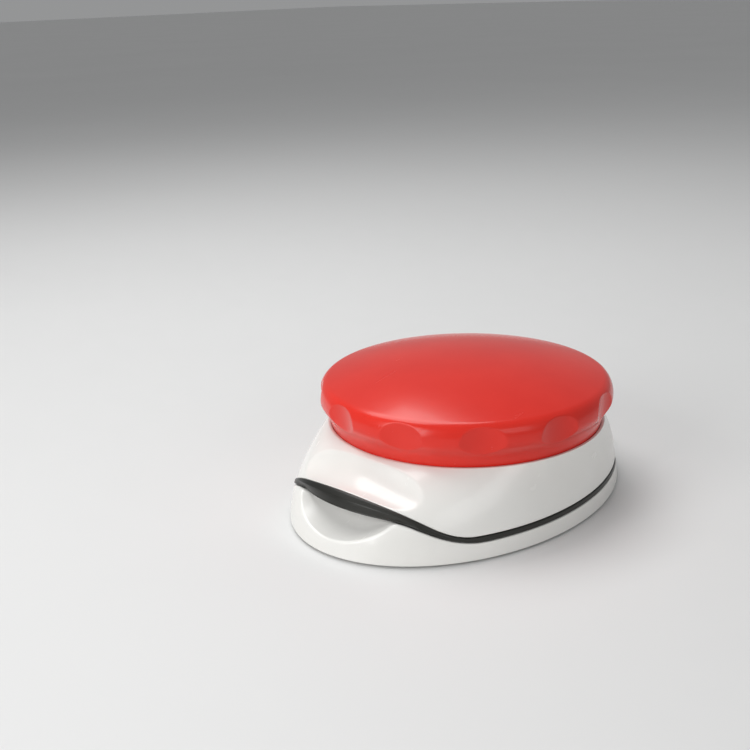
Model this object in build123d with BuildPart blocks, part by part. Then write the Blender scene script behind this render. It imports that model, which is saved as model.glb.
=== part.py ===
from build123d import *
import os

os.makedirs("parts", exist_ok=True)

# Patty press with a hinged lid, a hand-pushed presser and a lift-out tray.
# Millimetres. The front grip points to -Y, the hinge is at +Y and the feet stand on Z = 0.
# Sizes are laid out about the press axis. FRAME then moves every piece, so that the origin
# lies under the middle of the whole press.

# Body form: base and lid together, a stack of ellipses that ends in a round rim
FRONT_REACH = 85.7
REAR_REACH = 76.0
HALF_WIDTH = 60.6
RIM_HEIGHT = 32.0
RIM_RADIUS = 58.0
DRAFT = 0.13  # how far the walls lean in per millimetre of height
FRONT_SHOULDER = 2.8  # the higher the power, the later the wall turns over towards the rim
SIDE_SHOULDER = 8.0
REAR_SHOULDER = 3.7
SEAM_ORDER = 0.01  # keeps every outline longer than it is wide, so the loft's seams line up
FORM_HEIGHTS = (0.9, 7, 13, 18, 22.5, 26.5, 29.5, 32)
BLOCK_TOP = 60.0  # cutting blocks reach past the body this far up and to each side
BLOCK_HALF_WIDTH = 75.0
WIDE = 200.0  # wider and longer than the whole press

STANDING = (Align.CENTER, Align.CENTER, Align.MIN)
WALL = 2.0
CLEAR = 0.3  # gap between pieces that move apart

# Parting lines, seen from the side as (Y, Z): level at the sides, rising to the front grip
BASE_TOP = ((WIDE / 2, 7.2), (-58.3, 7.2), (-70.8, 15.6), (-WIDE / 2, 21.4))
LID_BOTTOM = ((WIDE / 2, 9.8), (-59.3, 9.8), (-74.4, 23.1), (-WIDE / 2, 45))
BASE_BENDS = (30, 10)  # radii at the foot of the rise and at its crest
LID_BENDS = (20, 3)

BASE_LEVEL = BASE_TOP[0][1]
LID_LEVEL = LID_BOTTOM[0][1]
DECK_BOTTOM = BASE_LEVEL - WALL

# Finger scoop in the base under the grip, as (Y, height of its floor)
SCOOP_FLOOR = ((-95, 7.6), (-86, 6.9), (-79, 7.2), (-73, 9.2), (-67, 15))

SCOOP_DEPTH = 12.5
SCOOP_SECTION = ((-33, SCOOP_DEPTH), (-17, 3.2), (0, 0), (17, 3.2), (33, SCOOP_DEPTH))

# Hollows in the base at both sides of the scoop, under the rise of the parting line
FLANK_X = 42.0
FLANK_Y = -60.0
FLANK_WIDTH = 20.0
FLANK_LENGTH = 60.0

# Thumb recess in the lid over the grip: circles along X, each about (Y, Z) of this spine
RECESS_Y = -73.2
RECESS_Z = 36.8
RECESS_RADIUS = 14.3
RECESS_STATIONS = (-32, -16, 0, 16, 32)
RECESS_BACK = 0.0026  # how fast the spine drifts to the rear, and down, away from the middle
RECESS_DROP = 0.00625
RECESS_END = 44.0

# Chamber and presser
OPENING_RADIUS = 56.8
BORE_RADIUS = 55.3
LEDGE_HEIGHT = 30.5  # the presser's shoulder comes down onto the chamber ring here
PLUNGER_RADIUS = 54.9
PRESS_FACE_HEIGHT = 19.0

# Tray
TRAY_RADIUS = 56.5
TRAY_BOTTOM = 4.3
TRAY_FLOOR = 1.5
TRAY_PROUD = 0.15  # the band stands this far out of the body form
TRAY_TOP = LID_LEVEL - CLEAR
WELL_RADIUS = 57.0
BAND_END = 46.0  # behind this the tray is only a round rim
BAND_OVERLAP = 1.0  # the dish reaches this far up into the band
LUG_WIDTH = 16.0
LUG_REACH = 67.0
LUG_LIFT = 1.2  # the lug starts this far above the underside of the dish

# Presser cap
CAP_TOP = 58.2
DOME_RADIUS = 57.6  # the gentle dome ends here and turns down into the flange
DOME_SAG = 8.0
FLANGE_RADIUS = 61.2
FLANGE_WIDEST = 43.2
FLANGE_TURN = (59.4, 38.1)  # the flange's rounded underside turns back down to the skirt here
SKIRT_TOP = (57.4, 35.3)
SKIRT_BOTTOM = LEDGE_HEIGHT + CLEAR
SKIRT_RADIUS = 56.4
CUP_SPIGOT = 6.0  # how far the cup's inner rim reaches up inside the cap's skirt
CUP_CHAMFER = 0.8
FACE_GROOVES = (12, 24, 36, 48)  # radii of the ribbed face's grooves
GROOVE_HALF_WIDTH = 0.6
GROOVE_DEPTH = 0.6
SCALLOPS = 12
SCALLOP_START = 15.2  # the cap can stand at any turn; this one is as it was left
SCALLOP_FOOT = 34.5
SCALLOP_FOOT_RADIUS = 58.5  # the scallops' faces lean out from here, each cut by a cone
SCALLOP_RISE = 30.0
SCALLOP_CUTTER = 28.0
SCALLOP_TOP_CUTTER = 26.2

# Hinge
HINGE_Y = 75.2
HINGE_Z = 8.5
BARREL_RADIUS = 3.2
PIN_RADIUS = 1.5
PIN_FIT = 0.05
PIN_BORE = 30.0  # the pin hole reaches this far to each side, past every knuckle
PIN_SHORT = 0.4  # the pin ends this far inside the outer knuckles
PIN_CHAMFER = 0.3
ARM_START = 67.0
BASE_KNUCKLES = ((-19, -11.5), (-3.5, 3.5), (11.5, 19))
LID_KNUCKLES = ((-11.2, -3.8), (3.8, 11.2))

FRAME = Location((0, (FRONT_REACH - HINGE_Y - BARREL_RADIUS) / 2, 0))

# Underside
PLATE_BOTTOM = 1.2
PLATE_TOP = 2.4
PLATE_REBATE = 0.5  # the shell's wall is this much thinner around the plate
PLATE_FIT = 0.2
FOOT_RADIUS = 6.5
FOOT_PLACES = {
    "foot_front_left": (-34, -56),
    "foot_front_right": (34, -56),
    "foot_rear_left": (-36, 44),
    "foot_rear_right": (36, 44),
}
SCREW_PLACES = ((-27, -67), (27, -67), (-25, 61), (25, 61))
FOOT_STEM_RADIUS = 2.0
FOOT_CHAMFER = 0.4
SCREW_RADIUS = 1.2
SCREW_PLAY = 0.1
SCREW_HEAD_RADIUS = 2.2
SCREW_HEAD_HEIGHT = 0.8
SCREW_HEAD_CHAMFER = 0.2
DRIVE_WIDTH = 0.5  # cross recess in the head
DRIVE_LENGTH = 1.8
DRIVE_DEPTH = 0.3
SCREW_BOSS_RADIUS = 2.8

# Chamber ring
RING_FLANGE = 1.5
RING_FRONT = -60.0
RING_REAR = 63.0
RING_BOSS_HEIGHT = 9.0
RING_SCREW_DEPTH = 6.0
RING_SCREW_PLACES = ((-33, -50.5), (33, -50.5), (-22, 57.2), (22, 57.2))


def reach(foot, shoulder, height):
    """Distance from the press axis to the body form's wall at a height, on one of its sides."""
    turn = (height / RIM_HEIGHT) ** shoulder
    return foot - DRAFT * height - (foot - DRAFT * RIM_HEIGHT - RIM_RADIUS) * turn


def body_outline(height, inset):
    """The body form's ellipse at a height, moved in by an inset."""
    front = reach(FRONT_REACH, FRONT_SHOULDER, height) - inset
    rear = reach(REAR_REACH, REAR_SHOULDER, height) - inset
    side = reach(HALF_WIDTH, SIDE_SHOULDER, height) - inset - SEAM_ORDER
    with BuildSketch(Plane.XY.offset(height)) as outline:
        with Locations((0, (rear - front) / 2)):
            Ellipse(side, (front + rear) / 2)
    return outline.sketch


def body_form(heights, inset):
    """The solid body form through the given heights."""
    with BuildPart() as form:
        loft(sections=[body_outline(height, inset) for height in heights])
    return form.part


def parting_block(line, bends, shift):
    """Everything above a parting line that is moved up by a shift."""
    corners = [(y, z + shift) for y, z in line]
    with BuildPart() as block:
        with BuildSketch(Plane.YZ):
            with BuildLine():
                FilletPolyline(*corners, radius=bends)
                Polyline(corners[-1], (-WIDE / 2, BLOCK_TOP), (WIDE / 2, BLOCK_TOP), corners[0])
            make_face()
        extrude(amount=BLOCK_HALF_WIDTH, both=True)
    return block.part


def cylinder_block(radius, bottom, top):
    """A round block on the press axis."""
    with BuildPart() as block:
        with BuildSketch(Plane.XY.offset(bottom)):
            Circle(radius)
        extrude(amount=top - bottom)
    return block.part


def hinge_round(spans, radius, margin):
    """Round barrels about the hinge axis, each longer than its span by a margin at both ends."""
    with BuildPart() as barrels:
        for start, end in spans:
            with BuildSketch(Plane.YZ.offset(start - margin)):
                with Locations((HINGE_Y, HINGE_Z)):
                    Circle(radius)
            extrude(amount=end - start + 2 * margin)
    return barrels.part


def hinge_arms(spans, bottom, top):
    """Flat arms that join the hinge barrels to a shell's wall."""
    with BuildPart() as arms:
        with BuildSketch(Plane.XY.offset(bottom)):
            for start, end in spans:
                with Locations(((start + end) / 2, (ARM_START + HINGE_Y) / 2)):
                    Rectangle(end - start, HINGE_Y - ARM_START)
        extrude(amount=top - bottom)
    return arms.part


def recess_section(x, margin):
    """The thumb recess's round cross section at one place along X."""
    with BuildSketch(Plane.YZ.offset(x)) as section:
        with Locations((RECESS_Y + RECESS_BACK * x**2, RECESS_Z - RECESS_DROP * x**2)):
            Circle(RECESS_RADIUS * (1 - (x / RECESS_END) ** 4) + margin)
    return section.sketch


def recess_form(margin):
    """The thumb recess's cutting body, grown by a margin."""
    with BuildPart() as form:
        loft(sections=[recess_section(x, margin) for x in RECESS_STATIONS])
    return form.part


def scoop_section(y, floor):
    """The finger scoop's cross section at one depth: a shallow valley, open above."""
    with BuildSketch(Plane.XZ.offset(-y)) as section:
        with BuildLine():
            Spline(*[(x, floor + rise) for x, rise in SCOOP_SECTION])
            Line((SCOOP_SECTION[0][0], floor + SCOOP_DEPTH), (SCOOP_SECTION[-1][0], floor + SCOOP_DEPTH))
        make_face()
    return section.sketch


above_base = parting_block(BASE_TOP, BASE_BENDS, 0)
above_lid_line = parting_block(LID_BOTTOM, LID_BENDS, 0)
whole_form = body_form(FORM_HEIGHTS, 0)
inner_form = body_form(FORM_HEIGHTS[:-1], WALL)
well_wall = cylinder_block(WELL_RADIUS + WALL, 0, BLOCK_TOP)

with BuildPart() as scoop:
    loft(sections=[scoop_section(y, floor) for y, floor in SCOOP_FLOOR])

with BuildPart() as deck_cavity:
    add(inner_form)
    with BuildSketch(Plane.XY.offset(DECK_BOTTOM)):
        Rectangle(WIDE, WIDE)
    extrude(amount=BLOCK_TOP, mode=Mode.SUBTRACT)
    add(well_wall, mode=Mode.SUBTRACT)

with BuildPart() as flank_cavities:
    add(inner_form)
    add(parting_block(BASE_TOP, BASE_BENDS, -WALL), mode=Mode.SUBTRACT)
    with BuildSketch(Plane.XY):
        with Locations((-FLANK_X, FLANK_Y), (FLANK_X, FLANK_Y)):
            Rectangle(FLANK_WIDTH, FLANK_LENGTH)
    extrude(amount=BLOCK_TOP, mode=Mode.INTERSECT)
    add(well_wall, mode=Mode.SUBTRACT)

# Base shell: wall, deck, round well for the tray, finger scoop and three hinge knuckles
with BuildPart() as base_shell:
    add(whole_form)
    add(above_base, mode=Mode.SUBTRACT)
    add(deck_cavity.part, mode=Mode.SUBTRACT)
    add(flank_cavities.part, mode=Mode.SUBTRACT)
    add(hinge_round(LID_KNUCKLES, BARREL_RADIUS + 2 * CLEAR, CLEAR), mode=Mode.SUBTRACT)
    add(hinge_round(BASE_KNUCKLES, BARREL_RADIUS, 0))
    add(hinge_arms(BASE_KNUCKLES, DECK_BOTTOM, BASE_LEVEL))
    add(scoop.part, mode=Mode.SUBTRACT)
    with BuildSketch(Plane.XY.offset(TRAY_BOTTOM - CLEAR)):
        Circle(WELL_RADIUS)
    extrude(amount=BLOCK_TOP, mode=Mode.SUBTRACT)
    with BuildSketch(Plane.XY.offset(TRAY_BOTTOM - CLEAR)):
        with Locations((0, LUG_REACH - LUG_WIDTH / 2)):
            Circle(LUG_WIDTH / 2 + 3 * CLEAR)
        with Locations((0, TRAY_RADIUS)):
            Rectangle(LUG_WIDTH + 6 * CLEAR, 2 * (LUG_REACH - TRAY_RADIUS - LUG_WIDTH / 2))
    extrude(amount=BLOCK_TOP, mode=Mode.SUBTRACT)
    with BuildSketch(Plane.XY):
        add(body_outline(PLATE_TOP, WALL - PLATE_REBATE).moved(Location((0, 0, -PLATE_TOP))))
    extrude(amount=PLATE_TOP, mode=Mode.SUBTRACT)
    with BuildSketch(Plane.XY.offset(PLATE_TOP)):
        with Locations(*SCREW_PLACES):
            Circle(SCREW_BOSS_RADIUS)
    extrude(amount=DECK_BOTTOM - PLATE_TOP)
    with BuildSketch(Plane.XY.offset(PLATE_TOP)):
        with Locations(*SCREW_PLACES):
            Circle(SCREW_RADIUS)
    extrude(amount=DECK_BOTTOM - PLATE_TOP, mode=Mode.SUBTRACT)
    with BuildSketch(Plane.YZ):
        with Locations((HINGE_Y, HINGE_Z)):
            Circle(PIN_RADIUS)
    extrude(amount=PIN_BORE, both=True, mode=Mode.SUBTRACT)
base_shell.part.location = FRAME
base_shell.part.label = "base_shell"
export_step(base_shell.part, "parts/base_shell.step")

# Base plate: closes the shell from below, with holes for the screws and the feet's stems
plate_outline = body_outline(PLATE_TOP, WALL - PLATE_REBATE + PLATE_FIT)
with BuildPart() as base_plate:
    with BuildSketch(Plane.XY.offset(PLATE_BOTTOM)):
        add(plate_outline.moved(Location((0, 0, PLATE_BOTTOM - PLATE_TOP))))
        with Locations(*SCREW_PLACES):
            Circle(SCREW_RADIUS + SCREW_PLAY, mode=Mode.SUBTRACT)
        with Locations(*FOOT_PLACES.values()):
            Circle(FOOT_STEM_RADIUS, mode=Mode.SUBTRACT)
    extrude(amount=PLATE_TOP - PLATE_BOTTOM)
base_plate.part.location = FRAME
base_plate.part.label = "base_plate"
export_step(base_plate.part, "parts/base_plate.step")

# Feet: soft pads with a stem that plugs into the base plate
for name, place in FOOT_PLACES.items():
    with BuildPart() as foot:
        with BuildSketch(Plane.XY):
            with Locations(place):
                Circle(FOOT_RADIUS)
        extrude(amount=PLATE_BOTTOM)
        chamfer(foot.edges().group_by(Axis.Z)[0], FOOT_CHAMFER)
        with BuildSketch(Plane.XY.offset(PLATE_BOTTOM)):
            with Locations(place):
                Circle(FOOT_STEM_RADIUS)
        extrude(amount=PLATE_TOP - PLATE_BOTTOM)
    foot.part.location = FRAME
    foot.part.label = name
    export_step(foot.part, f"parts/{name}.step")

# Base screws: pan heads against the plate, shanks up into the shell's bosses
with BuildPart() as base_screws:
    with BuildSketch(Plane.XY.offset(PLATE_BOTTOM - SCREW_HEAD_HEIGHT)):
        with Locations(*SCREW_PLACES):
            Circle(SCREW_HEAD_RADIUS)
    extrude(amount=SCREW_HEAD_HEIGHT)
    chamfer(base_screws.edges().group_by(Axis.Z)[0], SCREW_HEAD_CHAMFER)
    with BuildSketch(Plane.XY.offset(PLATE_BOTTOM - SCREW_HEAD_HEIGHT)):
        with Locations(*SCREW_PLACES):
            Rectangle(DRIVE_WIDTH, DRIVE_LENGTH)
            Rectangle(DRIVE_LENGTH, DRIVE_WIDTH)
    extrude(amount=DRIVE_DEPTH, mode=Mode.SUBTRACT)
    with BuildSketch(Plane.XY.offset(PLATE_BOTTOM)):
        with Locations(*SCREW_PLACES):
            Circle(SCREW_RADIUS)
    extrude(amount=DECK_BOTTOM - PLATE_BOTTOM - CLEAR)
base_screws.part.location = FRAME
base_screws.part.label = "base_screws"
export_step(base_screws.part, "parts/base_screws.step")

# Hinge pin: a plain steel rod, held by the base's knuckles
with BuildPart() as hinge_pin:
    with BuildSketch(Plane.YZ.offset(BASE_KNUCKLES[0][0] + PIN_SHORT)):
        with Locations((HINGE_Y, HINGE_Z)):
            Circle(PIN_RADIUS)
    extrude(amount=BASE_KNUCKLES[-1][1] - BASE_KNUCKLES[0][0] - 2 * PIN_SHORT)
    chamfer(hinge_pin.edges(), PIN_CHAMFER)
hinge_pin.part.location = FRAME
hinge_pin.part.label = "hinge_pin"
export_step(hinge_pin.part, "parts/hinge_pin.step")

# Tray: a shallow dish, a band between the shells, a front grip and a rear lug
with BuildPart() as tray_band:
    add(body_form(FORM_HEIGHTS[:-2], -TRAY_PROUD))
    add(parting_block(LID_BOTTOM, LID_BENDS, -CLEAR), mode=Mode.SUBTRACT)
    add(parting_block(BASE_TOP, BASE_BENDS, CLEAR), mode=Mode.INTERSECT)
    with BuildSketch(Plane.XY):
        Circle(TRAY_RADIUS + WALL)
        with Locations((0, BAND_END - WIDE / 2)):
            Rectangle(WIDE, WIDE)
    extrude(amount=BLOCK_TOP, mode=Mode.INTERSECT)

with BuildPart() as patty_tray:
    add(tray_band.part)
    with BuildSketch(Plane.XY.offset(TRAY_BOTTOM)):
        Circle(TRAY_RADIUS)
    extrude(amount=BASE_LEVEL + CLEAR + BAND_OVERLAP - TRAY_BOTTOM)
    with BuildSketch(Plane.XY.offset(TRAY_BOTTOM + LUG_LIFT)):
        with Locations((0, LUG_REACH - LUG_WIDTH / 2)):
            Circle(LUG_WIDTH / 2)
        with Locations((0, TRAY_RADIUS)):
            Rectangle(LUG_WIDTH, 2 * (LUG_REACH - TRAY_RADIUS - LUG_WIDTH / 2))
    extrude(amount=TRAY_TOP - TRAY_BOTTOM - LUG_LIFT)
    with BuildSketch(Plane.XY.offset(TRAY_BOTTOM + TRAY_FLOOR)):
        Circle(TRAY_RADIUS - WALL)
    extrude(amount=BLOCK_TOP, mode=Mode.SUBTRACT)
patty_tray.part.location = FRAME
patty_tray.part.label = "patty_tray"
export_step(patty_tray.part, "parts/patty_tray.step")

with BuildPart() as lid_cavity:
    add(inner_form)
    add(recess_form(WALL), mode=Mode.SUBTRACT)
    add(cylinder_block(OPENING_RADIUS + WALL, LID_LEVEL + RING_FLANGE, BLOCK_TOP), mode=Mode.SUBTRACT)

# Lid shell: wall, round opening, thumb recess over the grip and two hinge knuckles
with BuildPart() as lid_shell:
    add(whole_form)
    add(above_lid_line, mode=Mode.INTERSECT)
    add(recess_form(0), mode=Mode.SUBTRACT)
    add(lid_cavity.part, mode=Mode.SUBTRACT)
    add(hinge_round(BASE_KNUCKLES, BARREL_RADIUS + 2 * CLEAR, CLEAR), mode=Mode.SUBTRACT)
    add(hinge_round(LID_KNUCKLES, BARREL_RADIUS, 0))
    add(hinge_arms(LID_KNUCKLES, LID_LEVEL, LID_LEVEL + WALL))
    with BuildSketch(Plane.XY):
        Circle(OPENING_RADIUS)
    extrude(amount=BLOCK_TOP, mode=Mode.SUBTRACT)
    with BuildSketch(Plane.XY.offset(LID_LEVEL + RING_FLANGE)):
        with Locations(*RING_SCREW_PLACES):
            Circle(SCREW_BOSS_RADIUS)
            Circle(SCREW_RADIUS, mode=Mode.SUBTRACT)
    extrude(amount=RING_BOSS_HEIGHT)
    with BuildSketch(Plane.YZ):
        with Locations((HINGE_Y, HINGE_Z)):
            Circle(PIN_RADIUS + PIN_FIT)
    extrude(amount=PIN_BORE, both=True, mode=Mode.SUBTRACT)
lid_shell.part.location = FRAME
lid_shell.part.label = "lid_shell"
export_step(lid_shell.part, "parts/lid_shell.step")

# Chamber ring: the bore that shapes the patty, with a flange that closes the lid from below
with BuildPart() as chamber_ring:
    with BuildSketch(Plane.XY.offset(LID_LEVEL)):
        add(body_outline(LID_LEVEL + RING_FLANGE, WALL + PLATE_FIT).moved(Location((0, 0, -RING_FLANGE))))
        with Locations((0, RING_FRONT - WIDE / 2), (0, RING_REAR + WIDE / 2)):
            Rectangle(WIDE, WIDE, mode=Mode.SUBTRACT)
        with Locations(*RING_SCREW_PLACES):
            Circle(SCREW_RADIUS + SCREW_PLAY, mode=Mode.SUBTRACT)
    extrude(amount=RING_FLANGE)
    with BuildSketch(Plane.XY.offset(LID_LEVEL)):
        Circle(OPENING_RADIUS)
    extrude(amount=LEDGE_HEIGHT - LID_LEVEL)
    with BuildSketch(Plane.XY.offset(LID_LEVEL)):
        Circle(BORE_RADIUS)
    extrude(amount=LEDGE_HEIGHT - LID_LEVEL, mode=Mode.SUBTRACT)
    add(above_lid_line, mode=Mode.INTERSECT)
chamber_ring.part.location = FRAME
chamber_ring.part.label = "chamber_ring"
export_step(chamber_ring.part, "parts/chamber_ring.step")

# Ring screws: hold the chamber ring up against the lid's bosses
with BuildPart() as ring_screws:
    with BuildSketch(Plane.XY.offset(LID_LEVEL + RING_FLANGE)):
        with Locations(*RING_SCREW_PLACES):
            Circle(SCREW_RADIUS)
    extrude(amount=RING_SCREW_DEPTH)
    with BuildSketch(Plane.XY.offset(LID_LEVEL)):
        with Locations(*RING_SCREW_PLACES):
            Circle(SCREW_RADIUS + SCREW_PLAY)
    extrude(amount=RING_FLANGE)
ring_screws.part.location = FRAME
ring_screws.part.label = "ring_screws"
export_step(ring_screws.part, "parts/ring_screws.step")

# Presser cap: dome, scalloped flange and skirt in one moulding
dome_edge = (DOME_RADIUS, CAP_TOP - DOME_SAG)
inner_edge = (DOME_RADIUS - WALL, CAP_TOP - WALL - DOME_SAG + 0.5)
widest = (FLANGE_RADIUS, FLANGE_WIDEST)
inner_foot = (SKIRT_RADIUS - WALL, SKIRT_BOTTOM)
outer_foot = (SKIRT_RADIUS, SKIRT_BOTTOM)
with BuildPart() as presser_cap:
    with BuildSketch(Plane.XZ):
        with BuildLine():
            Line((0, CAP_TOP), (0, CAP_TOP - WALL))
            TangentArc((0, CAP_TOP - WALL), inner_edge, tangent=(1, 0))
            Polyline(inner_edge, inner_foot, outer_foot, SKIRT_TOP)
            ThreePointArc(SKIRT_TOP, (FLANGE_TURN[0] - 1.3, FLANGE_TURN[1] - 1.2), FLANGE_TURN)
            ThreePointArc(FLANGE_TURN, (FLANGE_RADIUS - 0.45, FLANGE_WIDEST - 2.7), widest)
            ThreePointArc(widest, (FLANGE_RADIUS - 0.9, FLANGE_WIDEST + 4), dome_edge)
            TangentArc((0, CAP_TOP), dome_edge, tangent=(1, 0))
        make_face()
    revolve(axis=Axis.Z)
    with Locations((0, 0, SCALLOP_FOOT)):
        with PolarLocations(SCALLOP_FOOT_RADIUS + SCALLOP_CUTTER, SCALLOPS, start_angle=SCALLOP_START):
            Cone(SCALLOP_CUTTER, SCALLOP_TOP_CUTTER, SCALLOP_RISE, align=STANDING, mode=Mode.SUBTRACT)
presser_cap.part.location = FRAME
presser_cap.part.label = "presser_cap"
export_step(presser_cap.part, "parts/presser_cap.step")

# Plunger cup: the narrower lower band and the ribbed press face
with BuildPart() as plunger_cup:
    with BuildSketch(Plane.XY.offset(PRESS_FACE_HEIGHT)):
        Circle(PLUNGER_RADIUS)
    extrude(amount=SKIRT_BOTTOM - PRESS_FACE_HEIGHT)
    chamfer(plunger_cup.edges().group_by(Axis.Z)[0], CUP_CHAMFER)
    with BuildSketch(Plane.XY.offset(PRESS_FACE_HEIGHT + WALL)):
        Circle(PLUNGER_RADIUS - WALL)
    extrude(amount=BLOCK_TOP, mode=Mode.SUBTRACT)
    with BuildSketch(Plane.XY.offset(PRESS_FACE_HEIGHT + WALL)):
        Circle(PLUNGER_RADIUS - WALL)
        Circle(PLUNGER_RADIUS - 2 * WALL, mode=Mode.SUBTRACT)
    extrude(amount=SKIRT_BOTTOM - PRESS_FACE_HEIGHT + CUP_SPIGOT - WALL)
    with BuildSketch(Plane.XY.offset(PRESS_FACE_HEIGHT)):
        for radius in FACE_GROOVES:
            Circle(radius + GROOVE_HALF_WIDTH)
            Circle(radius - GROOVE_HALF_WIDTH, mode=Mode.SUBTRACT)
    extrude(amount=GROOVE_DEPTH, mode=Mode.SUBTRACT)
plunger_cup.part.location = FRAME
plunger_cup.part.label = "plunger_cup"
export_step(plunger_cup.part, "parts/plunger_cup.step")
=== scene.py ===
import math

import bpy
import numpy as np
from mathutils import Matrix, Vector


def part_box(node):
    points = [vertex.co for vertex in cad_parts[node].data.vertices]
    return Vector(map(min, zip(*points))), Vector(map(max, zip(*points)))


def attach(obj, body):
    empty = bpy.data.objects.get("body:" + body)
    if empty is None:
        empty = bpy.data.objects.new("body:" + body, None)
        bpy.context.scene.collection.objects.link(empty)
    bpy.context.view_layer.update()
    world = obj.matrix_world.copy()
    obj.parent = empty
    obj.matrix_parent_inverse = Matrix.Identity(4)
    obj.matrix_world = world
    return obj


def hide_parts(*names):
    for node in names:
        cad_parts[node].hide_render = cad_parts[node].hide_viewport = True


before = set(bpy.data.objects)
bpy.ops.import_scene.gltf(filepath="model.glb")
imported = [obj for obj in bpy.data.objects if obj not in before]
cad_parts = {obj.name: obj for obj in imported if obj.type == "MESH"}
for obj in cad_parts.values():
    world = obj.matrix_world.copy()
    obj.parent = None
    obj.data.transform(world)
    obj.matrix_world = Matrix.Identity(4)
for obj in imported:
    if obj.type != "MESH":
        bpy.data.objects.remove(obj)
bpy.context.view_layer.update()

# Sizes are in millimetres about the press axis; MM turns them into metres.
MM = 0.001
cup_low, cup_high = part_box("plunger_cup")
AXIS_Y = (cup_low.y + cup_high.y) / 2 / MM
PRESS_FACE = cup_low.z / MM
PLUNGER_RADIUS = (cup_high.x - cup_low.x) / 2 / MM
CAP_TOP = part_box("presser_cap")[1].z / MM
RING_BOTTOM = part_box("chamber_ring")[0].z / MM
LEDGE_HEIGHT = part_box("chamber_ring")[1].z / MM
RIM_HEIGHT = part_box("lid_shell")[1].z / MM
SHELL_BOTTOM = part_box("base_shell")[0].z / MM
TRAY_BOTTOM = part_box("patty_tray")[0].z / MM
PLATE_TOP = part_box("base_plate")[1].z / MM

COLUMNS = 1440  # points around each oval or round piece

# Body form: base and lid together, ellipses that end in a round rim
FRONT_REACH = 85.7
REAR_REACH = 76.0
HALF_WIDTH = 60.6
RIM_RADIUS = 58.0
DRAFT = 0.13
FRONT_SHOULDER = 2.8
SIDE_SHOULDER = 8.0
REAR_SHOULDER = 3.7
WALL = 2.0
CLEAR = 0.3

# Parting lines, as (Y, Z) from the rear to the front, and the radii of their bends
BASE_TOP = ((100, 7.2), (-58.3, 7.2), (-70.8, 15.6), (-100, 21.4))
LID_BOTTOM = ((100, 9.8), (-59.3, 9.8), (-74.4, 23.1), (-100, 45))
BASE_BENDS = (30, 10)
LID_BENDS = (20, 3)

# Finger scoop: its floor as (Y, Z), and how fast it rises to both sides
SCOOP_FLOOR = ((-95, 7.6), (-86, 6.9), (-79, 7.2), (-73, 9.2), (-67, 15))
SCOOP_RISE = 0.0112
SCOOP_EASE = 2.6

# Thumb recess: a round hollow along X, about a drooping spine
RECESS_Y = -73.2
RECESS_Z = 36.8
RECESS_RADIUS = 14.3
RECESS_BACK = 0.0026
RECESS_DROP = 0.00625
RECESS_END = 44.0
RECESS_EASE = 1.0

# Chamber, tray and presser
OPENING_RADIUS = 56.8
BORE_RADIUS = 55.3
RING_FLANGE = 1.5
RING_FRONT = 60.0
RING_REAR = 63.0
WELL_RADIUS = 57.0
TRAY_RADIUS = 56.5
TRAY_FLOOR = 1.5
BAND_END = 46.0
LUG_WIDTH = 16.0
LUG_CENTRE = 59.0
GRIP_HALF_WIDTH = 34.0
GRIP_CREASE = 0.72  # below this share of its height the grip's face leans in
GRIP_TUCK = 2.2
DOME_RADIUS = 57.6
DOME_SAG = 8.0
FLANGE_RADIUS = 61.2
FLANGE_WIDEST = 43.2
SKIRT_TOP = (57.4, 35.3)
SKIRT_BOTTOM = 30.8
SKIRT_RADIUS = 56.4
SCALLOPS = 12
SCALLOP_START = math.radians(15.2)
SCALLOP_FOOT = 34.5
SCALLOP_FOOT_RADIUS = 58.5
SCALLOP_CUTTER = 28.0
SCALLOP_LEAN = 1.8 / 30  # how fast the scallops' faces lean out with height
SCALLOP_EASE = 0.3
FACE_GROOVES = (12, 24, 36, 48)

# Hinge
HINGE_Y = 75.2
HINGE_Z = 8.5
BARREL_RADIUS = 3.2
PIN_RADIUS = 1.5
BASE_KNUCKLES = ((-19, -11.5), (-3.5, 3.5), (11.5, 19))
LID_KNUCKLES = ((-11.2, -3.8), (3.8, 11.2))
POCKET_RADIUS = BARREL_RADIUS + 2 * CLEAR
POCKET_EASE = 0.4

turns = np.linspace(0, 2 * math.pi, COLUMNS, endpoint=False)  # 0 is the front, pi the hinge


# ---------------------------------------------------------------- outlines and heights

def reach(foot, shoulder, height):
    """Distance from the press axis to the wall at a height, on one side of the body form."""
    turn_over = (np.maximum(height, 0) / RIM_HEIGHT) ** shoulder
    return foot - DRAFT * height - (foot - DRAFT * RIM_HEIGHT - RIM_RADIUS) * turn_over


def body_sizes(height):
    """Half width, half length and the middle's Y of the body form's ellipse at a height."""
    front = reach(FRONT_REACH, FRONT_SHOULDER, height)
    rear = reach(REAR_REACH, REAR_SHOULDER, height)
    return reach(HALF_WIDTH, SIDE_SHOULDER, height), (front + rear) / 2, (rear - front) / 2


def body_point(height, inset=0.0):
    """One row around the body form at a height, or at one height for each column."""
    side, half_length, middle = body_sizes(height)
    height = height + 0 * turns
    x = (side - inset) * np.sin(turns)
    y = middle - (half_length - inset) * np.cos(turns)
    return np.stack([x, y, height], axis=-1)


def unit(v):
    return v / np.maximum(np.linalg.norm(v, axis=-1, keepdims=True), 1e-9)


def bent_line(corners, bends):
    """A parting line's (Y, Z) points, front to rear, with its inner corners rounded."""
    corners = np.array(corners, float)
    points = [corners[0]]
    for before, corner, after, radius in zip(corners, corners[1:], corners[2:], bends):
        back, on = unit(before - corner), unit(after - corner)
        half = math.acos(np.clip(back @ on, -1, 1)) / 2
        centre = corner + unit(back + on) * radius / math.sin(half)
        start = unit(corner + back * radius / math.tan(half) - centre)
        end = unit(corner + on * radius / math.tan(half) - centre)
        points += [centre + radius * unit(start * (1 - t) + end * t) for t in np.linspace(0, 1, 48)]
    points.append(corners[-1])
    return np.array(points)[::-1]


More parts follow.
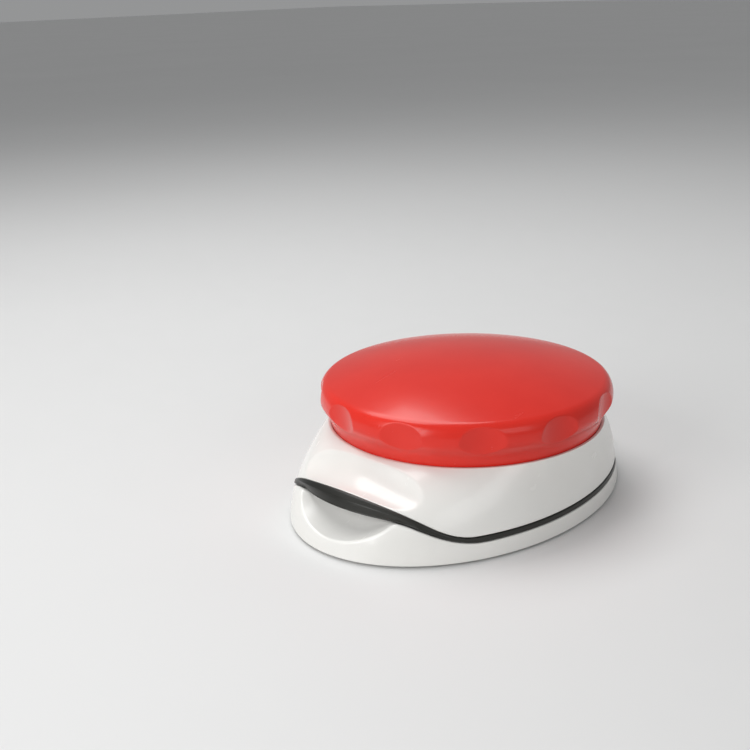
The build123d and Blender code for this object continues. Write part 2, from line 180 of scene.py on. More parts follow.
base_line = bent_line(BASE_TOP, BASE_BENDS)
lid_line = bent_line(LID_BOTTOM, LID_BENDS)
scoop_y, scoop_z = np.array(SCOOP_FLOOR).T
scoop_curve = np.polyfit(scoop_y - RECESS_Y, scoop_z, 4)


def on_line(line, y):
    return np.interp(y, line[:, 0], line[:, 1])


def ease_low(a, b, width):
    """The lower of two values, eased where they meet."""
    near = np.maximum(width - np.abs(a - b), 0) / width
    return np.minimum(a, b) - near**3 * width / 6


def smooth(share):
    """An eased step from 0 to 1."""
    share = np.clip(share, 0, 1)
    return share * share * (3 - 2 * share)


def span_share(x, spans, margin):
    """1 inside any of the spans along X and 0 outside, eased at their ends."""
    shares = [(end - start) / 2 + margin - np.abs(x - (start + end) / 2) for start, end in spans]
    return np.clip(np.max(shares, axis=0) / POCKET_EASE + 0.5, 0, 1)


def pocket_depth(y):
    """Half height of the round hinge pocket at a Y."""
    return np.sqrt(np.maximum(POCKET_RADIUS**2 - (y - HINGE_Y) ** 2, 0))


def scoop_height(x, y):
    inside = np.minimum(y, scoop_y[-1])
    return np.polyval(scoop_curve, inside - RECESS_Y) + SCOOP_RISE * x**2 + 1.5 * (y - inside)


def deck_height(x, y):
    """The base shell's top surface: parting line, finger scoop and hinge pockets."""
    deck = ease_low(on_line(base_line, y), scoop_height(x, y), SCOOP_EASE)
    pocket = np.where(np.abs(y - HINGE_Y) < POCKET_RADIUS, HINGE_Z - pocket_depth(y), deck)
    return deck - span_share(x, LID_KNUCKLES, CLEAR) * np.maximum(deck - pocket, 0)


def lid_underside(x, y):
    """The lid shell's lower limit: parting line and hinge pockets."""
    under = on_line(lid_line, y)
    pocket = np.where(np.abs(y - HINGE_Y) < POCKET_RADIUS, HINGE_Z + pocket_depth(y), under)
    return under + span_share(x, BASE_KNUCKLES, CLEAR) * np.maximum(pocket - under, 0)


def wall_heights(surface):
    """Where the body form's wall meets a surface over X and Y, for each column."""
    height = np.full(COLUMNS, 10.0)
    for _ in range(120):
        row = body_point(height)
        height = height + 0.3 * (surface(row[:, 0], row[:, 1]) - height)
    return height


def recess_depth(row):
    """How far the thumb recess moves the body's wall in, and the way it moves, in the YZ plane."""
    step = 0.01
    x, y, z = row.T

    def form(y_at, z_at):
        side, half_length, middle = body_sizes(z_at)
        return (x / side) ** 2 + ((y_at - middle) / half_length) ** 2

    slope_y = (form(y + step, z) - form(y - step, z)) / (2 * step)
    slope_z = (form(y, z + step) - form(y, z - step)) / (2 * step)
    normal = unit(np.stack([slope_y, slope_z], axis=-1))
    spine = np.stack([RECESS_Y + RECESS_BACK * x**2, RECESS_Z - RECESS_DROP * x**2], axis=-1)
    radius = RECESS_RADIUS * (1 - (np.minimum(np.abs(x), RECESS_END) / RECESS_END) ** 4)
    away = np.stack([y, z], axis=-1) - spine
    along = np.sum(away * normal, axis=-1)
    square = along**2 - np.sum(away**2, axis=-1) + radius**2
    depth = along + np.sqrt(np.maximum(square, 0))
    depth = np.where((y < RECESS_Y + 30) & (along < 0), depth, -RECESS_RADIUS)
    near = np.maximum(RECESS_EASE - np.abs(depth), 0) / RECESS_EASE
    depth = np.maximum(depth, 0) + near**3 * RECESS_EASE / 6
    return depth, normal


def recessed(row):
    depth, normal = recess_depth(row)
    moved = row.copy()
    moved[:, 1:] -= depth[:, None] * normal
    return moved


# ---------------------------------------------------------------- rows and meshes

def at_height(row, height):
    """A copy of a row, moved to a height."""
    moved = row.copy()
    moved[:, 2] = height
    return moved


def between(start, end, count):
    """Rows after start, up to and with end."""
    return [start + (end - start) * t for t in np.linspace(0, 1, count + 1)[1:]]


def corner(before, point, after, steps=6):
    """Rows that turn a corner on an even curve, between the rows before and after it."""
    shares = np.linspace(0, 1, steps + 1)[1:-1]
    return [(1 - t) ** 2 * before + 2 * t * (1 - t) * point + t**2 * after for t in shares]


def radial(radius, height):
    """A row in the columns' own directions from the press axis, at a radius and a height."""
    return np.stack([radius * direction[:, 0], radius * direction[:, 1], height + 0 * turns], axis=-1)


def mesh_object(name, points, faces):
    """A smooth closed mesh from points in millimetres about the press axis, facing outwards."""
    points = (np.asarray(points, float) + (0, AXIS_Y, 0)) * MM
    mesh = bpy.data.meshes.new(name)
    mesh.from_pydata(points.tolist(), [], faces)
    mesh.validate()
    mesh.update()
    obj = bpy.data.objects.new(name, mesh)
    bpy.context.scene.collection.objects.link(obj)
    mesh.polygons.foreach_set("use_smooth", [True] * len(mesh.polygons))
    return obj


def row_mesh(name, rows, ends):
    """A piece made of closed rows. Its ends are 'loop', or 'poles' that close on a middle point."""
    rows = np.array(rows)
    count, columns = rows.shape[:2]
    index = np.arange(count * columns).reshape(count, columns)
    on = np.roll(index, -1, axis=1)
    last = count if ends == "loop" else count - 1
    faces = []
    for i in range(last):
        j = (i + 1) % count
        faces += np.stack([index[i], on[i], on[j], index[j]], axis=-1).tolist()
    points = rows.reshape(-1, 3)
    if ends == "poles":
        start, end = len(points), len(points) + 1
        points = np.vstack([points, rows[0].mean(axis=0), rows[-1].mean(axis=0)])
        faces += [[int(b), int(a), start] for a, b in zip(index[0], on[0])]
        faces += [[int(a), int(b), end] for a, b in zip(index[-1], on[-1])]
    first, second, third, fourth = (points[[f[i] for f in faces]] for i in (0, 1, 2, -1))
    volume = np.sum(first * np.cross(second, third)) + np.sum(first * np.cross(third, fourth))
    if volume < 0:
        faces = [f[::-1] for f in faces]
    return mesh_object(name, points, faces)


def soft_profile(corners, step=2.5):
    """Points along (radius, height, rounding) corners, with the corners rounded."""
    places = np.array([(r, z) for r, z, _ in corners], float)
    points = [places[0]]
    for i in range(1, len(corners)):
        here = places[i]
        start = points[-1]
        rounding = corners[i][2]
        end = here + unit(start - here) * rounding
        length = np.linalg.norm(end - start)
        count = max(1, math.ceil(length / step))
        shares = list(np.linspace(0, 1, count + 1)[1:])
        if length > 1.0:
            shares = sorted(shares + [0.2 / length, 1 - 0.2 / length])
        points += [start + (end - start) * t for t in shares]
        if rounding and i + 1 < len(corners):
            after = here + unit(places[i + 1] - here) * rounding
            points += corner(end, here, after)
            points.append(after)
    return np.array(points)


def revolved(name, profile, ends, columns=720):
    """A round piece about the press axis."""
    around = np.linspace(0, 2 * math.pi, columns, endpoint=False)
    rows = [np.stack([r * np.sin(around), -r * np.cos(around), z + 0 * around], axis=-1)
            for r, z in profile]
    return row_mesh(name, rows, ends)


def knuckles(name, spans, bore):
    """Hinge barrels with rounded rims and a bore for the pin, one closed tube for each span."""
    around = np.linspace(0, 2 * math.pi, 96, endpoint=False)
    made = []
    for start, end in spans:
        loop = [(bore, start, 0), (BARREL_RADIUS, start, 0.5), (BARREL_RADIUS, end, 0.5), (bore, end, 0.2)]
        profile = soft_profile(loop + [(bore, start + 0.3, 0)], step=1.0)
        rows = []
        for r, x in profile:
            y, z = HINGE_Y + r * np.cos(around), HINGE_Z + r * np.sin(around)
            rows.append(np.stack([x + 0 * around, y, z], axis=-1))
        made.append(row_mesh(name, rows, "loop"))
    with bpy.context.temp_override(active_object=made[0], selected_editable_objects=made):
        bpy.ops.object.join()
    return made[0]


# ---------------------------------------------------------------- pieces

def make_base():
    """Base shell: rebated foot, outer wall, soft top edge, deck with the scoop, and the well."""
    foot_round, edge = 0.35, 0.5
    top = wall_heights(deck_height)
    scooped = np.clip((np.pi / 2 - np.abs((turns + np.pi) % (2 * np.pi) - np.pi)) * 2 - 1.2, 0, 1)
    edge = edge + 0.6 * scooped
    rebate = at_height(body_point(PLATE_TOP, 1.5), PLATE_TOP)
    low_inner = at_height(rebate, SHELL_BOTTOM)
    low_outer = body_point(SHELL_BOTTOM)
    foot_in = low_outer + unit(low_inner - low_outer) * foot_round
    rows = [rebate * (s, s, 1) for s in (0.02, 0.2, 0.4, 0.6, 0.8, 0.95, 1.0)]
    rows += between(rebate, low_inner, 3)
    rows += between(low_inner, foot_in, 2)
    wall_start = body_point(SHELL_BOTTOM + foot_round)
    rows += corner(foot_in, low_outer, wall_start)
    wall_top = top - edge
    for t in np.linspace(0, 1, 40):
        rows.append(body_point(SHELL_BOTTOM + foot_round + (wall_top - SHELL_BOTTOM - foot_round) * t))
    edge_row = body_point(top)
    well = radial(well_radius(), 0)
    deck_in = edge_row + unit(at_height(well, 0) - at_height(edge_row, 0)) * edge[:, None]
    deck_in[:, 2] = deck_height(deck_in[:, 0], deck_in[:, 1])
    rows += corner(rows[-1], edge_row, deck_in)
    rim_start = well + unit(at_height(deck_in, 0) - at_height(well, 0)) * 0.4
    for t in np.linspace(0, 1, 72):
        row = deck_in + (rim_start - deck_in) * t
        row[:, 2] = deck_height(row[:, 0], row[:, 1])
        rows.append(row)
    rim = at_height(well, rows[-1][:, 2])
    floor = TRAY_BOTTOM - CLEAR
    rim_end = at_height(well, rim[:, 2] - 0.4)
    rows += corner(rows[-1], rim, rim_end)
    rows += [rim_end]
    rows += between(rim_end, at_height(well, floor), 5)
    rows += [at_height(well, floor) * (s, s, 1) for s in (0.99, 0.9, 0.7, 0.5, 0.3, 0.1, 0.02)]
    return row_mesh("base_shell_moulding", rows, "poles")


def well_radius():
    """The well's radius in each column: a circle, with the slot for the tray's lug at the rear."""
    return lug_outline(WELL_RADIUS, LUG_WIDTH / 2 + 3 * CLEAR)


def lug_outline(radius, half_width):
    """A circle about the press axis joined with a round-ended slot towards the hinge."""
    sine = np.abs(direction[:, 0])
    cosine = direction[:, 1]
    reach_side = half_width / np.maximum(sine, 1e-6)
    inside = np.maximum(half_width**2 - (LUG_CENTRE * sine) ** 2, 0)
    reach_end = LUG_CENTRE * cosine + np.sqrt(inside)
    slot = np.where(reach_side * cosine < LUG_CENTRE, reach_side, reach_end)
    return np.where(cosine > 0.9, np.maximum(radius, slot), radius)


def make_lid():
    """Lid shell: outer wall with the thumb recess, rim, opening, and the hollow inside the front."""
    edge, rim_round = 0.45, 0.6
    under = wall_heights(lid_underside)
    starts = under + edge
    heights = [starts + (RIM_HEIGHT - rim_round * 0.5 - starts) * t for t in np.linspace(0, 1, 110)]
    outer = np.array([recessed(body_point(h)) for h in heights])
    low = recessed(body_point(under))
    along = np.gradient(outer, axis=0)
    around = np.roll(outer, -1, axis=1) - np.roll(outer, 1, axis=1)
    normals = unit(np.cross(around, along))
    inner = outer - WALL * normals
    low_inner = at_height(inner[0], lid_underside(inner[0][:, 0], inner[0][:, 1]))
    low_in = low + unit(low_inner - low) * edge
    tube_bottom = RING_BOTTOM + RING_FLANGE
    inner_radius = np.linalg.norm(inner[:, :, :2], axis=-1)
    open_rows = (inner_radius > OPENING_RADIUS + WALL + 0.5) & (inner[:, :, 2] < RIM_HEIGHT - WALL - 1)
    last = np.argmin(open_rows, axis=0)
    last = np.maximum(last, 1)
    last = np.convolve(np.concatenate([last[-12:], last, last[:12]]), np.ones(25) / 25, "valid")
    rows = list(outer)
    rim_outer = body_point(RIM_HEIGHT)
    rim_in = rim_outer + unit(radial(OPENING_RADIUS, RIM_HEIGHT) - rim_outer) * rim_round
    rows += corner(rows[-1], at_height(rim_outer, RIM_HEIGHT), rim_in)
    opening_top = radial(OPENING_RADIUS, RIM_HEIGHT)
    opening_in = opening_top + unit(rim_in - opening_top) * 0.3
    opening_down = radial(OPENING_RADIUS, RIM_HEIGHT - 0.3)
    rows += [rim_in, opening_in]
    rows += corner(opening_in, opening_top, opening_down)
    rows += [opening_down]
    rows += between(opening_down, radial(OPENING_RADIUS, tube_bottom), 8)
    tube = np.minimum(OPENING_RADIUS + WALL, inner_radius[0] - 0.3)
    rows += between(rows[-1], radial(tube, tube_bottom), 2)

    def inner_at(place):
        """A row of the inner wall at a fractional row number for each column."""
        whole = np.clip(np.floor(place).astype(int), 0, len(inner) - 2)
        share = (place - whole)[:, None]
        columns = np.arange(COLUMNS)
        return inner[whole, columns] * (1 - share) + inner[whole + 1, columns] * share

    ceiling = inner_at(last)
    tube_top = radial(tube, np.maximum(ceiling[:, 2], tube_bottom + 0.05))
    rows += between(rows[-1], tube_top, 6)
    rows += between(tube_top, ceiling, 2)
    rows += [inner_at(last * t) for t in np.linspace(1, 0, 30)[1:]]
    rows += [low_inner]
    rows += between(low_inner, low_in, 3)
    rows += corner(low_in, low, outer[0])
    return row_mesh("lid_shell_moulding", rows, "loop")


def make_tray():
    """Tray: dish, band between the shells, grip over the scoop and lug at the rear."""
    edge = 0.45
    middle = body_point(15.0)
    front = np.clip((-middle[:, 1] - 40) / 25, 0, 1)
    proud = 0.15 + 0.4 * front
    grip = smooth((GRIP_HALF_WIDTH - np.abs(middle[:, 0])) / 10) * smooth((-middle[:, 1] - 60) / 8)

    def tuck(share):
        """How far the grip's face leans in, by its share of the height from bottom to top."""
        below = np.maximum(GRIP_CREASE - share, 0) / GRIP_CREASE
        return GRIP_TUCK * grip * (np.sqrt(below**2 + 0.002) - math.sqrt(0.002))

    def band_heights(line, shift, inset):
        height = np.full(COLUMNS, 10.0)
        for _ in range(120):
            row = body_point(height, inset)
            height = height + 0.3 * (on_line(line, row[:, 1]) + shift - height)
        return height

    low_z = band_heights(base_line, CLEAR, tuck(0) - proud)
    high_z = band_heights(lid_line, -CLEAR, -proud)
    swing = smooth((body_point(8.0)[:, 1] - BAND_END) / 2.5 + 0.5)[:, None]
    rim = lug_outline(TRAY_RADIUS + WALL, LUG_WIDTH / 2)

    def outer_row(height, share):
        wall = body_point(height, tuck(share) - proud)
        return wall * (1 - swing) + at_height(radial(rim, 0), height) * swing

    low, high = outer_row(low_z, 0), outer_row(high_z, 1)
    side = [outer_row(low_z + edge + (high_z - low_z - 2 * edge) * t, t) for t in np.linspace(0, 1, 40)]
    wall_in = radial(TRAY_RADIUS - WALL, 0)
    wall_out = radial(TRAY_RADIUS, 0)
    inward = unit(at_height(wall_in, 0) - at_height(high, 0))
    top_in = high + inward * edge
    top_in[:, 2] = on_line(lid_line, top_in[:, 1]) - CLEAR
    low_in = low + inward * edge
    low_in[:, 2] = on_line(base_line, low_in[:, 1]) + CLEAR
    rows = list(side)
    rows += corner(side[-1], high, top_in)
    lip = wall_in + unit(at_height(top_in, 0) - wall_in) * 0.5
    for t in np.linspace(0, 1, 40):
        row = top_in + (lip - top_in) * t
        row[:, 2] = on_line(lid_line, row[:, 1]) - CLEAR
        rows.append(row)
    dish = TRAY_BOTTOM + TRAY_FLOOR
    lip_top = at_height(wall_in, rows[-1][:, 2])
    lip_down = at_height(wall_in, rows[-1][:, 2] - 0.5)
    rows += corner(rows[-1], lip_top, lip_down)
    rows += between(lip_down, at_height(wall_in, dish + 1.2), 3)
    foot_in = at_height(wall_in * ((TRAY_RADIUS - WALL - 1.2) / (TRAY_RADIUS - WALL)), dish)
    rows += corner(rows[-1], at_height(wall_in, dish), foot_in)
    rows += [foot_in * (s, s, 1) for s in (1, 0.95, 0.8, 0.6, 0.4, 0.2, 0.05, 0.01)]
    under = [at_height(wall_out, TRAY_BOTTOM) * (s, s, 1) for s in (0.01, 0.05, 0.3, 0.6, 0.9, 0.985)]
    rise = at_height(wall_out, TRAY_BOTTOM + 0.8)
    under += corner(under[-1], at_height(wall_out, TRAY_BOTTOM), rise)
    under += [rise]
    seat = on_line(base_line, wall_out[:, 1]) + CLEAR
    under += between(rise, at_height(wall_out, seat), 3)
    for t in np.linspace(0, 1, 30)[1:]:
        row = wall_out + (at_height(low_in, 0) - wall_out) * t
        row[:, 2] = on_line(base_line, row[:, 1]) + CLEAR
        under.append(row)
    under += corner(low_in, low, side[0])
    return row_mesh("patty_tray_moulding", under + rows, "poles")


def make_ring():
    """Chamber ring: a flange that closes the lid from below and the bore that shapes the patty."""
    outline = body_point(RING_BOTTOM + RING_FLANGE, WALL + 0.2)
    outline[:, 1] = -ease_low(-outline[:, 1], RING_FRONT + 0 * turns, 1.0)
    outline[:, 1] = ease_low(outline[:, 1], RING_REAR + 0 * turns, 1.0)
    bottom, top = RING_BOTTOM, RING_BOTTOM + RING_FLANGE
    limit = on_line(lid_line, outline[:, 1])
    low = at_height(outline, np.maximum(bottom, limit))
    high = at_height(outline, np.maximum(top, limit + 0.3))
    bore_low, bore_high = radial(BORE_RADIUS, bottom), radial(BORE_RADIUS, LEDGE_HEIGHT)
    bore_low = at_height(bore_low, np.maximum(bottom, on_line(lid_line, bore_low[:, 1])))
    tube = radial(OPENING_RADIUS - 0.02, LEDGE_HEIGHT)
    rows = [low + (high - low) * 0.3]
    rows += between(rows[0], high, 3)
    rows += between(high, at_height(tube, high[:, 2]), 3)
    rows += between(rows[-1], at_height(tube, LEDGE_HEIGHT), 8)
    rows += between(rows[-1], bore_high + unit(tube - bore_high) * 0.3, 2)
    rows += corner(rows[-1], bore_high, bore_high - (0, 0, 0.3))
    rows += [bore_high - (0, 0, 0.3)]
    rows += between(rows[-1], bore_low + (0, 0, 0.4), 10)
    flange_in = bore_low + unit(low - bore_low) * 0.4
    rows += corner(rows[-1], bore_low, flange_in)
    rows += [flange_in]
    rows += between(flange_in, low + unit(bore_low - low) * 0.3, 4)
    rows += corner(rows[-1], low, rows[0])
    return row_mesh("chamber_ring_moulding", rows, "loop")


def make_cup():
    """Plunger cup: ribbed press face, side band and the inner rim that holds it in the cap."""
    corners = [(0.4, PRESS_FACE, 0)]
    for radius in FACE_GROOVES:
        for r, z in ((-0.8, 0), (-0.4, 0.6), (0.4, 0.6), (0.8, 0)):
            corners.append((radius + r, PRESS_FACE + z, 0.15))
    shoulder, inner = SKIRT_BOTTOM, PLUNGER_RADIUS - WALL
    corners += [(PLUNGER_RADIUS, PRESS_FACE, 0.9), (PLUNGER_RADIUS, shoulder, 0.3), (inner, shoulder, 0)]
    corners += [(inner, shoulder + 6, 0.2), (inner - WALL, shoulder + 6, 0.2)]
    corners += [(inner - WALL, PRESS_FACE + WALL, 0.5), (0.4, PRESS_FACE + WALL, 0)]
    return revolved("plunger_cup_moulding", soft_profile(corners), "poles")


def scallop_limit(around, height):
    """How far out the scallop cutters let the flange reach at a height, for each column."""
    centre = SCALLOP_FOOT_RADIUS + SCALLOP_CUTTER
    cutter = SCALLOP_CUTTER - max(height - SCALLOP_FOOT, 0) * SCALLOP_LEAN
    pitch = 2 * math.pi / SCALLOPS
    off = np.abs((around - SCALLOP_START + pitch / 2) % pitch - pitch / 2)
    square = cutter**2 - (centre * np.sin(off)) ** 2
    return centre * np.cos(off) - np.sqrt(np.maximum(square, 0))


def bezier(start, toward, back, end, count):
    """Points after start on a cubic curve to end."""
    handles = [np.array(h, float) for h in (start, toward, back, end)]
    points = []
    for t in np.linspace(0, 1, count + 1)[1:]:
        weights = (1 - t) ** 3, 3 * t * (1 - t) ** 2, 3 * t**2 * (1 - t), t**3
        points.append(tuple(sum(w * h for w, h in zip(weights, handles))))
    return points


def make_cap():
    """Presser cap: dome, rounded shoulder, scalloped flange, tapered skirt and the hollow inside."""
    dome = (DOME_RADIUS**2 + DOME_SAG**2) / (2 * DOME_SAG)
    radii = np.concatenate([np.linspace(1.5, 50, 40), np.linspace(50.4, 57.0, 22)])
    profile = [(r, CAP_TOP - dome + math.sqrt(dome**2 - r**2)) for r in radii]
    start = np.array(profile[-1])
    slope = np.array([math.sqrt(dome**2 - start[0] ** 2), -start[0]]) / dome
    widest = (FLANGE_RADIUS, FLANGE_WIDEST)
    profile += bezier(start, start + 3.1 * slope, (FLANGE_RADIUS, FLANGE_WIDEST + 3.2), widest, 33)
    skirt_side = (SKIRT_TOP[0] + 0.8, SKIRT_TOP[1] + 3.4)
    profile += bezier(widest, (FLANGE_RADIUS, FLANGE_WIDEST - 3.4), skirt_side, SKIRT_TOP, 26)
    lower = [(*SKIRT_TOP, 0), (SKIRT_RADIUS, SKIRT_BOTTOM, 0.25), (SKIRT_RADIUS - WALL, SKIRT_BOTTOM, 0.1)]
    lower += [(DOME_RADIUS - WALL, CAP_TOP - DOME_SAG - WALL, 1.0)]
    profile += [tuple(p) for p in soft_profile(lower, step=0.4)[1:]]
    inner_dome = dome - WALL
    for r in np.linspace(DOME_RADIUS - WALL - 1.4, 1.5, 30):
        profile.append((r, CAP_TOP - dome + math.sqrt(inner_dome**2 - r**2)))
    around = np.linspace(0, 2 * math.pi, SCALLOPS * 120, endpoint=False)
    rows = []
    for r, z in profile:
        cut = ease_low(r + 0 * around, scallop_limit(around, z), SCALLOP_EASE)
        rows.append(np.stack([cut * np.sin(around), -cut * np.cos(around), z + 0 * around], axis=-1))
    return row_mesh("presser_cap_moulding", rows, "poles")


direction = unit(body_point(8.0)[:, :2])

base = make_base()
lid = make_lid()
tray = make_tray()
ring = make_ring()
cup = make_cup()
cap = make_cap()
base_knuckles = knuckles("base_hinge_knuckles", BASE_KNUCKLES, PIN_RADIUS)
lid_knuckles = knuckles("lid_hinge_knuckles", LID_KNUCKLES, PIN_RADIUS + 0.05)


# ---------------------------------------------------------------- materials

class Nodes:
    """A short way to write a node material whose patterns follow the object."""

    def __init__(self, name):
        self.material = bpy.data.materials.new(name)
        self.material.use_nodes = True
        self.tree = self.material.node_tree
        self.shader = self.tree.nodes["Principled BSDF"]
        self.place = self.tree.nodes.new("ShaderNodeTexCoord").outputs["Object"]

    def noise(self, scale, detail=3.0, stretch=(1, 1, 1), roughness=0.5):
        mapping = self.tree.nodes.new("ShaderNodeMapping")
        mapping.inputs["Scale"].default_value = stretch
        self.tree.links.new(self.place, mapping.inputs["Vector"])
        node = self.tree.nodes.new("ShaderNodeTexNoise")
        node.inputs["Scale"].default_value = scale
        node.inputs["Detail"].default_value = detail
        node.inputs["Roughness"].default_value = roughness
        self.tree.links.new(mapping.outputs["Vector"], node.inputs["Vector"])
        return node.outputs["Fac"]

    def ramp(self, value, low, high, out_low, out_high):
        node = self.tree.nodes.new("ShaderNodeMapRange")
        limits = {"From Min": low, "From Max": high, "To Min": out_low, "To Max": out_high}
        for name, number in limits.items():
            node.inputs[name].default_value = number
        self.tree.links.new(value, node.inputs["Value"])
        return node.outputs["Result"]

    def math(self, operation, a, b):
        node = self.tree.nodes.new("ShaderNodeMath")
        node.operation = operation
        for socket, value in zip(node.inputs, (a, b)):
            if isinstance(value, (int, float)):
                socket.default_value = value
            else:
                self.tree.links.new(value, socket)
        return node.outputs["Value"]

    def tint(self, value, dark, light):
        node = self.tree.nodes.new("ShaderNodeMix")
        node.data_type = "RGBA"
        node.inputs[6].default_value = (*dark, 1)
        node.inputs[7].default_value = (*light, 1)
        self.tree.links.new(value, node.inputs[0])
        return node.outputs[2]

    def into(self, name, value):
        self.tree.links.new(value, self.shader.inputs[name])

    def bump(self, height, strength, distance):
        node = self.tree.nodes.new("ShaderNodeBump")
        node.inputs["Strength"].default_value = strength
        node.inputs["Distance"].default_value = distance
        self.tree.links.new(height, node.inputs["Height"])
        self.into("Normal", node.outputs["Normal"])


def plastic(name, dark, light, rough, grain, coat=0.0, scuffs=0.08, peel=0.00004, specular=0.5):
    """Moulded plastic: faint cloudiness, fine grain, light scuffs and a slight orange peel."""
    m = Nodes(name)
    cloud = m.ramp(m.noise(28, 4), 0.3, 0.7, 0, 1)
    m.into("Base Color", m.tint(cloud, dark, light))
    fine = m.ramp(m.noise(900, 2), 0.3, 0.7, -0.5, 0.5)
    scratch = m.ramp(m.noise(420, 2, (1, 0.06, 0.4)), 0.66, 0.72, 0, 1)
    where = m.ramp(m.noise(35, 2), 0.5, 0.68, 0, 1)
    worn = m.math("MULTIPLY", m.math("MULTIPLY", scratch, where), scuffs)
    level = m.math("ADD", m.math("MULTIPLY", fine, 0.05), rough)
    m.into("Roughness", m.math("ADD", level, worn))
    grainy = m.math("MULTIPLY", m.noise(grain, 3), 0.6)
    wavy = m.math("MULTIPLY", m.noise(260, 2), 0.4)
    m.bump(m.math("ADD", grainy, wavy), 0.25, peel)
    m.shader.inputs["IOR"].default_value = 1.5
    m.shader.inputs["Specular IOR Level"].default_value = specular
    m.shader.inputs["Coat Weight"].default_value = coat
    m.shader.inputs["Coat Roughness"].default_value = 0.06
    return m.material


def steel(name):
    """Zinc plated steel: soft spangle and drawn lines."""
    m = Nodes(name)
    m.into("Base Color", m.tint(m.noise(700, 3), (0.42, 0.42, 0.43), (0.66, 0.66, 0.65)))
    lines = m.noise(2600, 2, (0.05, 1, 1))
    m.into("Roughness", m.ramp(lines, 0.3, 0.7, 0.24, 0.42))
    m.bump(lines, 0.2, 0.00002)
    m.shader.inputs["Metallic"].default_value = 1.0
    return m.material


def rubber(name):
    """Soft rubber: matte, finely pitted, dusty in patches."""
    m = Nodes(name)
    m.into("Base Color", m.tint(m.noise(160, 4), (0.035, 0.035, 0.036), (0.085, 0.083, 0.08)))
    m.into("Roughness", m.ramp(m.noise(900, 3), 0.3, 0.7, 0.68, 0.88))
    m.bump(m.noise(2200, 3), 0.4, 0.00008)
    return m.material


white_gloss = plastic("white_gloss_plastic", (0.82, 0.81, 0.775), (0.87, 0.862, 0.83), 0.24, 1500, coat=0.2)
white_satin = plastic("white_satin_plastic", (0.76, 0.755, 0.73), (0.83, 0.825, 0.80), 0.42, 2600,
                      peel=0.00007)
red_gloss = plastic("red_gloss_plastic", (0.70, 0.024, 0.014), (0.77, 0.032, 0.019), 0.22, 1400, coat=0.08,
                    specular=0.34)
red_satin = plastic("red_satin_plastic", (0.52, 0.025, 0.02), (0.6, 0.034, 0.026), 0.38, 2400, peel=0.00007)
black_satin = plastic("black_satin_plastic", (0.012, 0.012, 0.010), (0.022, 0.022, 0.018), 0.34, 3000,
                      scuffs=0.12, peel=0.0001, specular=0.4)
zinc = steel("zinc_plated_steel")
foot_rubber = rubber("dark_foot_rubber")


def dress(obj, material):
    obj.data.materials.clear()
    obj.data.materials.append(material)


for piece, body, node, slot, material in (
        (base, "base", "base_shell", "white_gloss", white_gloss),
        (base_knuckles, "base", None, "white_gloss", white_gloss),
        (lid, "lid", "lid_shell", "white_gloss", white_gloss),
        (lid_knuckles, "lid", None, "white_gloss", white_gloss),
        (ring, "lid", "chamber_ring", "white_matte", white_satin),
        (cap, "presser", "presser_cap", "red_gloss", red_gloss),
        (cup, "presser", "plunger_cup", "red_satin", red_satin),
        (tray, "tray", "patty_tray", "black_satin", black_satin)):
    dress(piece, material)
    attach(piece, body)
    if node:
        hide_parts(node)

for node in ("base_screws", "ring_screws", "hinge_pin"):
    for material_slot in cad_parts[node].material_slots:
        material_slot.material = zinc
for node in ("foot_front_left", "foot_front_right", "foot_rear_left", "foot_rear_right"):
    for material_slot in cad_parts[node].material_slots:
        material_slot.material = foot_rubber
for material_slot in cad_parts["base_plate"].material_slots:
    material_slot.material = white_satin


# ---------------------------------------------------------------- floor, light and camera

FLOOR_HALF = 12.0  # metres


def make_floor():
    """A plain pale floor under the object."""
    mesh = bpy.data.meshes.new("floor")
    corners = [(x * FLOOR_HALF, y * FLOOR_HALF, 0) for x, y in ((-1, -1), (1, -1), (1, 1), (-1, 1))]
    mesh.from_pydata(corners, [], [(0, 1, 2, 3)])
    floor = bpy.data.objects.new("floor", mesh)
    bpy.context.scene.collection.objects.link(floor)
    m = Nodes("pale_floor")
    m.into("Base Color", m.tint(m.noise(3, 2), (0.74, 0.74, 0.735), (0.78, 0.78, 0.775)))
    m.into("Roughness", m.ramp(m.noise(60, 3), 0.3, 0.7, 0.55, 0.65))
    dress(floor, m.material)


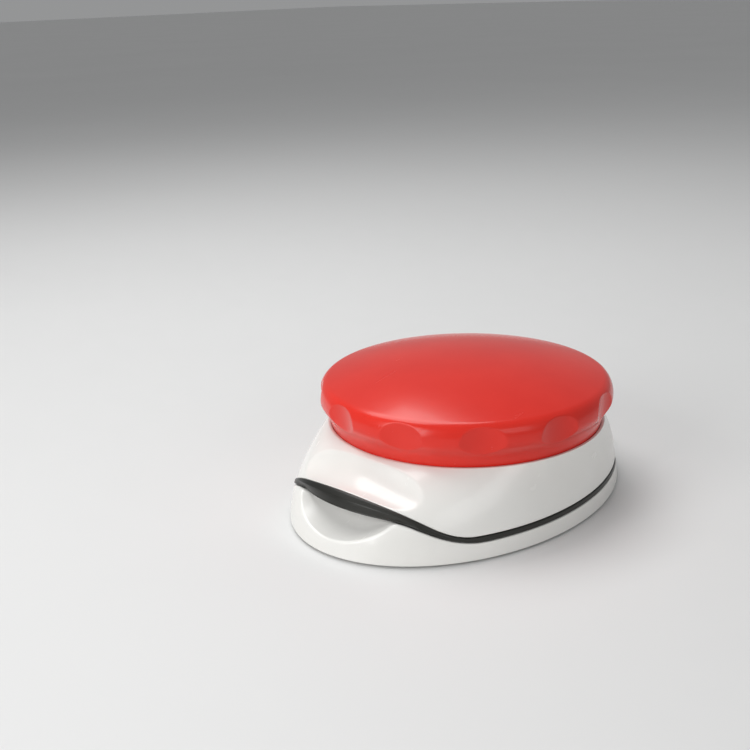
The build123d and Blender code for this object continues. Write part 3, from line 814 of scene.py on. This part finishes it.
def softbox(name, azimuth, elevation, distance, width, height, power):
    """A soft area light that looks at the object from an azimuth and elevation."""
    a, e = math.radians(azimuth), math.radians(elevation)
    back = Vector((math.sin(a) * math.cos(e), -math.cos(a) * math.cos(e), math.sin(e)))
    light = bpy.data.lights.new(name, "AREA")
    light.shape = "RECTANGLE"
    light.size = width
    light.size_y = height
    light.energy = power
    obj = bpy.data.objects.new(name, light)
    obj.location = Vector((0, 0, 0.03)) + back * distance
    obj.rotation_mode = "QUATERNION"
    obj.rotation_quaternion = (-back).to_track_quat("-Z", "Y")
    bpy.context.scene.collection.objects.link(obj)


CAMERA_AZIMUTH = 43.72
CAMERA_ELEVATION = 18.79
CAMERA_ROLL = -1.99
CAMERA_DISTANCE = 0.4821
CAMERA_LENS = 54.21
CAMERA_MOVE = (-0.0385, 0.0277)  # to the left and up, which puts the object low and to the right
CAMERA_AIM = Vector((0, AXIS_Y * MM, 0.02))


def make_camera():
    """A camera at the viewing angle, moved sideways and up without turning."""
    a, e, r = (math.radians(v) for v in (CAMERA_AZIMUTH, CAMERA_ELEVATION, CAMERA_ROLL))
    back = Vector((math.sin(a) * math.cos(e), -math.cos(a) * math.cos(e), math.sin(e)))
    right = Vector((math.cos(a), math.sin(a), 0))
    up = back.cross(right)
    right_rolled = right * math.cos(r) + up * math.sin(r)
    up_rolled = up * math.cos(r) - right * math.sin(r)
    data = bpy.data.cameras.new("camera")
    data.lens = CAMERA_LENS
    data.sensor_width = 36.0
    data.clip_start = 0.01
    camera = bpy.data.objects.new("camera", data)
    turn = Matrix((right_rolled, up_rolled, back)).transposed().to_4x4()
    place = CAMERA_AIM + back * CAMERA_DISTANCE + right_rolled * CAMERA_MOVE[0] + up_rolled * CAMERA_MOVE[1]
    camera.matrix_world = Matrix.Translation(place) @ turn
    bpy.context.scene.collection.objects.link(camera)
    bpy.context.scene.camera = camera


def make_world():
    world = bpy.data.worlds.new("studio")
    world.use_nodes = True
    world.node_tree.nodes["Background"].inputs["Color"].default_value = (0.93, 0.94, 0.95, 1)
    world.node_tree.nodes["Background"].inputs["Strength"].default_value = 0.32
    bpy.context.scene.world = world
    bpy.context.scene.view_settings.view_transform = "Standard"


make_floor()
make_world()
softbox("key_softbox", -95, 66, 1.0, 0.8, 0.6, 6.4)
softbox("side_softbox", -10, 24, 0.9, 0.4, 0.5, 2.8)
softbox("front_softbox", 70, 25, 1.4, 0.9, 0.6, 2.2)
softbox("strip_softbox", 8, 16, 0.9, 0.06, 0.45, 0.7)
make_camera()
